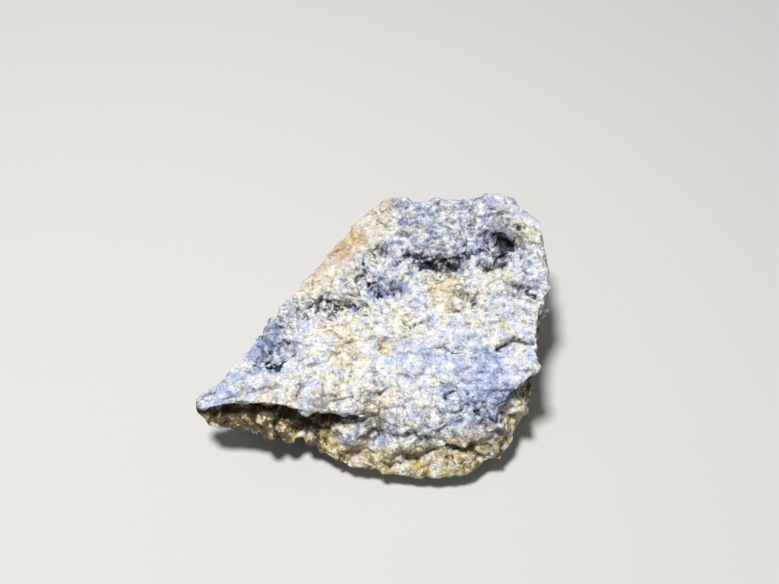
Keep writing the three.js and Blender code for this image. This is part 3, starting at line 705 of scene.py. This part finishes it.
# How each mask is broken up: which of the grain's numbers is added, noise per mm, raggedness,
# graininess and sharpness.
BREAKS = {
    "blue": ("Choice", 0.8, 2.2, 0.12, 1.0),
    "peach": ("Choice", 0.8, 1.6, 0.25, 1.1),
    "rust": ("Choice", 0.8, 2.8, 0.12, 1.3),
    "bevel": ("Choice", 0.7, 1.4, 0.25, 1.3),
    "ochre": ("Choice", 0.7, 1.6, 0.1, 1.6),
    "speckle": ("Shade", 1.5, 2.0, -1.0, 2.2),
    "hollow": ("Shade", 1.1, 2.6, -1.6, 2.2),
}

# How much of the stain is dark, how much less the bevel is shaded, and how soon a hollow is darkened with
# dirt and painted shade.
RUST_SHARE = 0.48
BEVEL_UNSHADED = 0.1
SHADE_AND_SOIL_ONSET = 5.0


def add_node(tree, kind, inputs=None, **settings):
    """A shader node with its settings, and its inputs set to values or linked from other sockets."""
    node = tree.nodes.new(kind)
    for key, value in settings.items():
        setattr(node, key, value)
    for key, value in (inputs or {}).items():
        if isinstance(value, bpy.types.NodeSocket):
            tree.links.new(value, node.inputs[key])
        else:
            node.inputs[key].default_value = value
    return node


def math_node(tree, operation, a, b=0.0, clamp=False):
    return add_node(tree, "ShaderNodeMath", {0: a, 1: b}, operation=operation, use_clamp=clamp).outputs[0]


def vector_math(tree, operation, a, b):
    return add_node(tree, "ShaderNodeVectorMath", {0: a, 1: b}, operation=operation).outputs[0]


def mix_colours(tree, share, a, b, blend="MIX"):
    node = add_node(tree, "ShaderNodeMix", {0: share, 6: a, 7: b}, data_type="RGBA", blend_type=blend)
    return node.outputs[2]


def noise_texture(tree, place, scale, detail, roughness=0.5):
    inputs = {"Vector": place, "Scale": scale, "Detail": detail, "Roughness": roughness}
    return add_node(tree, "ShaderNodeTexNoise", inputs).outputs


def ramp(tree, value, stops):
    """A colour ramp from (place, colour) stops."""
    node = add_node(tree, "ShaderNodeValToRGB", {0: value})
    elements = node.color_ramp.elements
    while len(elements) < len(stops):
        elements.new(0.5)
    for element, (place, colour) in zip(elements, stops):
        element.position = place
        element.color = (*colour, 1.0)
    return node.outputs[0]


def shader_group(name, inputs, outputs):
    """An empty node group with the named (name, socket type, default) inputs and (name, type) outputs."""
    group = bpy.data.node_groups.new(name, "ShaderNodeTree")
    for label, kind, default in inputs:
        socket = group.interface.new_socket(label, in_out="INPUT", socket_type=kind)
        if default is not None:
            socket.default_value = default
    for label, kind in outputs:
        group.interface.new_socket(label, in_out="OUTPUT", socket_type=kind)
    entry = group.nodes.new("NodeGroupInput")
    leave = group.nodes.new("NodeGroupOutput")
    return group, entry.outputs, leave.inputs


def crystal_facets(tree, place, scale):
    """Flat faces of crystals, each tilted its own way: the scattered cell's random vector times the way
    from its middle. Gives that height and the cell's own random colour."""
    cell = add_node(tree, "ShaderNodeTexVoronoi", {"Vector": place, "Scale": scale})
    away = vector_math(tree, "SUBTRACT", place, cell.outputs["Position"])
    slope = vector_math(tree, "SUBTRACT", cell.outputs["Color"], (0.5, 0.5, 0.5))
    height = add_node(tree, "ShaderNodeVectorMath", {0: slope, 1: away}, operation="DOT_PRODUCT")
    own = add_node(tree, "ShaderNodeSeparateColor", {0: cell.outputs["Color"]})
    return height.outputs["Value"], own.outputs


def grain_group():
    """Crystal grains of two sizes: a shade, the grain's own choice of mineral, a second shade, and the
    height of the tilted faces in millimetres."""
    group, entry, leave = shader_group(
        "Crystal grains",
        [("Vector", "NodeSocketVector", None), ("Grains per mm", "NodeSocketFloat", 2.2)],
        [("Shade", "NodeSocketFloat"), ("Choice", "NodeSocketFloat"), ("Fine shade", "NodeSocketFloat"),
         ("Height", "NodeSocketFloat")],
    )

    def times(value, factor):
        return math_node(group, "MULTIPLY", value, factor)

    def plus(a, b):
        return math_node(group, "ADD", a, b)

    bend = noise_texture(group, entry["Vector"], BENDS_PER_MM, 3.0)["Color"]
    bend = vector_math(group, "SUBTRACT", bend, (0.5, 0.5, 0.5))
    place = vector_math(group, "ADD", entry["Vector"], vector_math(group, "MULTIPLY", bend, (BEND,) * 3))
    coarse, own = crystal_facets(group, place, entry["Grains per mm"])
    fine, fine_own = crystal_facets(group, place, times(entry["Grains per mm"], FINER))
    clouds = noise_texture(group, entry["Vector"], CLOUDS_PER_MM, 5.0, 0.6)["Fac"]
    height = plus(plus(coarse, fine), times(clouds, CLOUD_HEIGHT))
    shade = plus(plus(times(own[0], OWN_SHADE), times(clouds, CLOUD_SHADE)), times(fine_own[0], FINE_SHADE))
    group.links.new(math_node(group, "SUBTRACT", shade, SHADE_LESS), leave["Shade"])
    group.links.new(own[1], leave["Choice"])
    group.links.new(fine_own[1], leave["Fine shade"])
    group.links.new(height, leave["Height"])
    return group


def ragged_mask_group():
    """A soft mask broken up: noise and each grain's own number are added to it, and the sum is sharpened
    about a half."""
    group, entry, leave = shader_group(
        "Ragged mask",
        [("Vector", "NodeSocketVector", None), ("Mask", "NodeSocketFloat", 0.5),
         ("Grain", "NodeSocketFloat", 0.5), ("Noise per mm", "NodeSocketFloat", 0.8),
         ("Raggedness", "NodeSocketFloat", 0.8), ("Graininess", "NodeSocketFloat", 0.5),
         ("Sharpness", "NodeSocketFloat", 2.0)],
        [("Mask", "NodeSocketFloat")],
    )

    def centred(value, factor):
        return math_node(group, "MULTIPLY", math_node(group, "SUBTRACT", value, 0.5), factor)

    noise = noise_texture(group, entry["Vector"], entry["Noise per mm"], 4.0, 0.6)["Fac"]
    uneven = math_node(group, "ADD", entry["Mask"], centred(noise, entry["Raggedness"]))
    uneven = math_node(group, "ADD", uneven, centred(entry["Grain"], entry["Graininess"]))
    sharper = math_node(group, "ADD", centred(uneven, entry["Sharpness"]), 0.5, clamp=True)
    group.links.new(sharper, leave["Mask"])
    return group


def millimetre_place(tree):
    """The object's own coordinates, in millimetres."""
    own = add_node(tree, "ShaderNodeTexCoord").outputs["Object"]
    return add_node(tree, "ShaderNodeMapping", {"Vector": own, "Scale": (1 / MM,) * 3}).outputs[0]


def new_material(name):
    material = bpy.data.materials.new(name)
    material.use_nodes = True
    tree = material.node_tree
    return material, tree, tree.nodes["Principled BSDF"]


def attribute_value(tree, name):
    return add_node(tree, "ShaderNodeAttribute", attribute_name=name).outputs["Fac"]


def rock_colour(tree, colours, grains, patch):
    """The clean rock: blue dumortierite and cream quartz grains in ragged patches, the sandy and peach
    bevel, and the ochre stain, all under the grains' own shades and scattered dark grains."""
    rock = ramp(tree, patch("blue"), [(0.0, colours.yellow), (0.28, colours.cream), (0.5, colours.white),
                                      (0.72, colours.lavender), (1.0, colours.blue)])
    worn = ramp(tree, patch("peach"), [(0.1, colours.white), (0.3, colours.sand), (0.5, colours.sand),
                                       (0.9, colours.peach)])
    rust = ramp(tree, patch("rust", RUST_SHARE), [(0.0, colours.white), (0.25, colours.yellow),
                                                  (0.65, colours.ochre), (1.0, colours.rust)])
    colour = mix_colours(tree, patch("bevel"), rock, worn)
    colour = mix_colours(tree, patch("ochre"), colour, rust)
    unshaded = math_node(tree, "MULTIPLY", attribute_value(tree, "bevel"), BEVEL_UNSHADED)
    shaded = math_node(tree, "SUBTRACT", 1.0, unshaded)
    colour = mix_colours(tree, shaded, colour, ramp(tree, grains["Shade"], SHADES), "MULTIPLY")
    dark = math_node(tree, "MULTIPLY", patch("speckle"), colours.dark_grains)
    return mix_colours(tree, dark, colour, (*colours.navy, 1.0), "MULTIPLY")


def shaded_and_soiled(tree, colour, colours, patch):
    """The colour darkened in the hollows and under the brow by dirt and painted shade: dark blue-grey on
    clean rock, brown on stained.
    """
    onset = math_node(tree, "MULTIPLY", attribute_value(tree, "hollow"), SHADE_AND_SOIL_ONSET, clamp=True)
    dirt_and_shade = math_node(tree, "MULTIPLY", patch("hollow"), onset)
    dirt_and_shade = math_node(tree, "MULTIPLY", dirt_and_shade, colours.dirt_and_shade)
    stain = attribute_value(tree, "ochre")
    soil = mix_colours(tree, stain, (*colours.navy, 1.0), (*colours.brown, 1.0))
    return mix_colours(tree, dirt_and_shade, colour, soil, "MULTIPLY")


def dumortierite_material(colours):
    """Rough rock of grains: each mask is broken up by noise and by the grains' own numbers, the grains'
    faces are tilted by a bump, and each is a little glossier or duller than the next."""
    material, tree, surface = new_material("Dumortierite in quartz")
    place = millimetre_place(tree)
    inputs = {"Vector": place, "Grains per mm": colours.grains_per_mm}
    grains = add_node(tree, "ShaderNodeGroup", inputs, node_tree=grain_group()).outputs
    ragged = ragged_mask_group()

    def patch(name, mask=None):
        """The mask of that name, or the given one, broken up."""
        grain, *values = BREAKS[name]
        names = ("Noise per mm", "Raggedness", "Graininess", "Sharpness")
        inputs = {"Vector": place, "Grain": grains[grain], **dict(zip(names, values))}
        inputs["Mask"] = attribute_value(tree, name) if mask is None else mask
        return add_node(tree, "ShaderNodeGroup", inputs, node_tree=ragged).outputs[0]

    colour = shaded_and_soiled(tree, rock_colour(tree, colours, grains, patch), colours, patch)
    tree.links.new(colour, surface.inputs["Base Color"])
    gloss = {0: grains["Fine shade"], 3: ROUGHEST, 4: SMOOTHEST}
    tree.links.new(add_node(tree, "ShaderNodeMapRange", gloss).outputs[0], surface.inputs["Roughness"])
    faces = {"Height": grains["Height"], "Strength": 1.0, "Distance": colours.bump_height * MM}
    tree.links.new(add_node(tree, "ShaderNodeBump", faces).outputs[0], surface.inputs["Normal"])
    return material


def floor_material(stage):
    """Pale matte board with a very faint tooth."""
    material, tree, surface = new_material("Pale board")
    tooth = noise_texture(tree, millimetre_place(tree), 1.6, 3.0)["Fac"]
    paler = np.minimum(np.array(stage.floor_colour) * 1.03, 1)
    colour = mix_colours(tree, tooth, (*stage.floor_colour, 1.0), (*paler, 1.0))
    tree.links.new(colour, surface.inputs["Base Color"])
    surface.inputs["Roughness"].default_value = 0.9
    bump = add_node(tree, "ShaderNodeBump", {"Height": tooth, "Strength": 0.3, "Distance": 0.03 * MM})
    tree.links.new(bump.outputs[0], surface.inputs["Normal"])
    return material


# ---------- Settings, operators and panel ----------


def number(name, description, default, **limits):
    return FloatProperty(name=name, description=description, default=default, **limits)


def tint(name, description, default):
    return FloatVectorProperty(name=name, description=description, default=default, subtype="COLOR", size=3)


class StoneSizes(bpy.types.PropertyGroup):
    """Sizes of the stone's surface, in millimetres."""

    cells: IntProperty(name="Cells", description="Cells along each side of the sheets", default=218, min=20)
    knob_size: number("Knob size", "Size of the small lumps", 1.5)
    knob_height: number("Knob height", "How far the small lumps stand out", 0.21)
    flake_size: number("Flake size", "Size of the leaning flakes", 2.1)
    flake_tilt: number("Flake tilt", "How steeply the flakes lean", 0.29)
    block_size: number("Block size", "Size of the blocks between creases", 2.6)
    crease_depth: number("Crease depth", "Depth of a full crease", 0.5)
    pit_size: number("Pit size", "Size of the pits", 0.9)
    pit_depth: number("Pit depth", "Depth of a full pit", 0.34)


class StoneColours(bpy.types.PropertyGroup):
    """Colours and grain of the rock."""

    blue: tint("Blue", "Pure dumortierite", (0.44, 0.53, 0.76))
    lavender: tint("Lavender", "Dumortierite with some quartz", (0.72, 0.76, 0.88))
    white: tint("White", "Clean quartz", (0.88, 0.88, 0.89))
    cream: tint("Cream", "Quartz with a little stain", (0.92, 0.88, 0.79))
    yellow: tint("Yellow", "Stained quartz", (0.90, 0.79, 0.54))
    sand: tint("Sand", "Most of the smooth bevel", (0.82, 0.75, 0.60))
    peach: tint("Peach", "Warm part of the smooth bevel", (0.72, 0.53, 0.35))
    ochre: tint("Ochre", "Iron stain on the lower ledges", (0.70, 0.53, 0.20))
    rust: tint("Rust", "The darkest iron stain", (0.30, 0.18, 0.06))
    # Navy and brown also colour the darkening in the hollows and under the brow, which is dirt and painted
    # shade.
    navy: tint("Navy", "Dark grains, and dirt on clean rock", (0.06, 0.065, 0.10))
    brown: tint("Brown", "Dirt on stained rock", (0.12, 0.08, 0.035))
    dark_grains: number("Dark grains", "How dark the dark grains are", 0.6, subtype="FACTOR", min=0, max=1)
    # How strongly the hollows and the zone under the brow are darkened by dirt and painted shade.
    dirt_and_shade: number("Dirt", "How much dirt lies in the hollows", 0.92, subtype="FACTOR", min=0, max=1)
    grains_per_mm: number("Grains per mm", "Fineness of the coloured grains", 2.2)
    bump_height: number("Bump height", "How steeply the crystal faces tilt", 0.8)


class StageSettings(bpy.types.PropertyGroup):
    """The floor, the lights and the camera."""

    floor_colour: tint("Floor", "Colour of the board", (0.5, 0.49, 0.475))
    floor_size: number("Floor size", "Side of the board", 4.0, unit="LENGTH")
    key_watts: number("Key light", "Power of the lamp above", 1.77, unit="POWER")
    fill_strength: number("Fill", "Strength of the light from all round", 0.21)
    camera_elevation: number("Camera elevation", "Angle above the floor", math.radians(50), subtype="ANGLE")
    camera_distance: number("Camera distance", "From the aim to the camera", 0.14, unit="LENGTH")
    camera_lens: number("Lens", "Focal length in millimetres", 50)


CAMERA_AIM = Vector((1.5, 6.8, 7.0)) * MM
KEY_PLACE = Vector((-60, -28, 350)) * MM
KEY_SIZE = 70 * MM
ROOM_COLOUR = (0.92, 0.96, 1.0, 1.0)
SENSOR_WIDTH = 36
NEAREST_SEEN = 5 * MM


class SPECIMEN_OT_stone(bpy.types.Operator):
    """Make the stone's detailed surface over its solid"""

    bl_idname = "specimen.stone"
    bl_label = "Rough dumortierite"

    def execute(self, context):
        sizes, colours = context.scene.stone_sizes, context.scene.stone_colours
        share, along, triangles = closed_surface(sizes.cells)
        plain = form_points(share, along)
        normals = outward_normals(plain, triangles)
        broken, steps = broken_relief(plain, normals, along)
        points = plain + normals * broken[:, None]
        normals = outward_normals(points, triangles)
        bevel = bevel_mask(points, along)
        fine, pits = fine_relief(points, along, bevel, sizes)
        points = points + normals * fine[:, None]
        points[:, 2] = np.maximum(points[:, 2], 0)
        masks = colour_masks(points, along, steps, pits, overhang_shade_mask(share, along), bevel)
        points = fit_to_box(points * MM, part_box(STONE_NODE))
        piece = triangle_mesh("dumortierite_stone", points, triangles, masks)
        piece.data.materials.append(dumortierite_material(colours))
        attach(piece, "root")
        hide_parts(STONE_NODE)
        return {"FINISHED"}


class SPECIMEN_OT_stage(bpy.types.Operator):
    """Make the pale floor, the lights and the camera"""

    bl_idname = "specimen.stage"
    bl_label = "Plain stage"

    def execute(self, context):
        stage = context.scene.stage_settings
        half = stage.floor_size / 2
        mesh = bpy.data.meshes.new("floor")
        corners = [(-half, -half, 0), (half, -half, 0), (half, half, 0), (-half, half, 0)]
        mesh.from_pydata(corners, [], [(0, 1, 2, 3)])
        floor = bpy.data.objects.new("floor", mesh)
        floor.data.materials.append(floor_material(stage))
        context.scene.collection.objects.link(floor)
        self.light(context, stage)
        self.camera(context, stage)
        return {"FINISHED"}

    def light(self, context, stage):
        lamp = bpy.data.lights.new("key", "AREA")
        lamp.shape, lamp.size, lamp.energy = "DISK", KEY_SIZE, stage.key_watts
        key = bpy.data.objects.new("key", lamp)
        key.location = KEY_PLACE
        key.rotation_euler = (-KEY_PLACE).to_track_quat("-Z", "Y").to_euler()
        context.scene.collection.objects.link(key)
        world = bpy.data.worlds.new("soft room")
        world.use_nodes = True
        background = world.node_tree.nodes["Background"]
        background.inputs["Color"].default_value = ROOM_COLOUR
        background.inputs["Strength"].default_value = stage.fill_strength
        context.scene.world = world
        context.scene.view_settings.view_transform = "Standard"

    def camera(self, context, stage):
        data = bpy.data.cameras.new("camera")
        data.lens, data.sensor_width, data.clip_start = stage.camera_lens, SENSOR_WIDTH, NEAREST_SEEN
        camera = bpy.data.objects.new("camera", data)
        back = Vector((0, -math.cos(stage.camera_elevation), math.sin(stage.camera_elevation)))
        camera.location = CAMERA_AIM + back * stage.camera_distance
        camera.rotation_euler = (-back).to_track_quat("-Z", "Y").to_euler()
        context.scene.collection.objects.link(camera)
        context.scene.camera = camera


class SPECIMEN_PT_panel(bpy.types.Panel):
    """Lists the stone's and the stage's settings and operators"""

    bl_idname = "SPECIMEN_PT_panel"
    bl_label = "Dumortierite specimen"
    bl_space_type = "VIEW_3D"
    bl_region_type = "UI"
    bl_category = "Specimen"

    def draw(self, context):
        scene = context.scene
        for settings in (scene.stone_sizes, scene.stone_colours, scene.stage_settings):
            box = self.layout.box()
            for name in settings.__annotations__:
                box.prop(settings, name)
        self.layout.operator(SPECIMEN_OT_stone.bl_idname)
        self.layout.operator(SPECIMEN_OT_stage.bl_idname)


CLASSES = (StoneSizes, StoneColours, StageSettings, SPECIMEN_OT_stone, SPECIMEN_OT_stage, SPECIMEN_PT_panel)


def register():
    for cls in CLASSES:
        bpy.utils.register_class(cls)
    bpy.types.Scene.stone_sizes = PointerProperty(type=StoneSizes)
    bpy.types.Scene.stone_colours = PointerProperty(type=StoneColours)
    bpy.types.Scene.stage_settings = PointerProperty(type=StageSettings)


def unregister():
    del bpy.types.Scene.stage_settings
    del bpy.types.Scene.stone_colours
    del bpy.types.Scene.stone_sizes
    for cls in reversed(CLASSES):
        bpy.utils.unregister_class(cls)


def main():
    register()
    bpy.ops.specimen.stone()
    bpy.ops.specimen.stage()


if __name__ == "__main__":
    main()
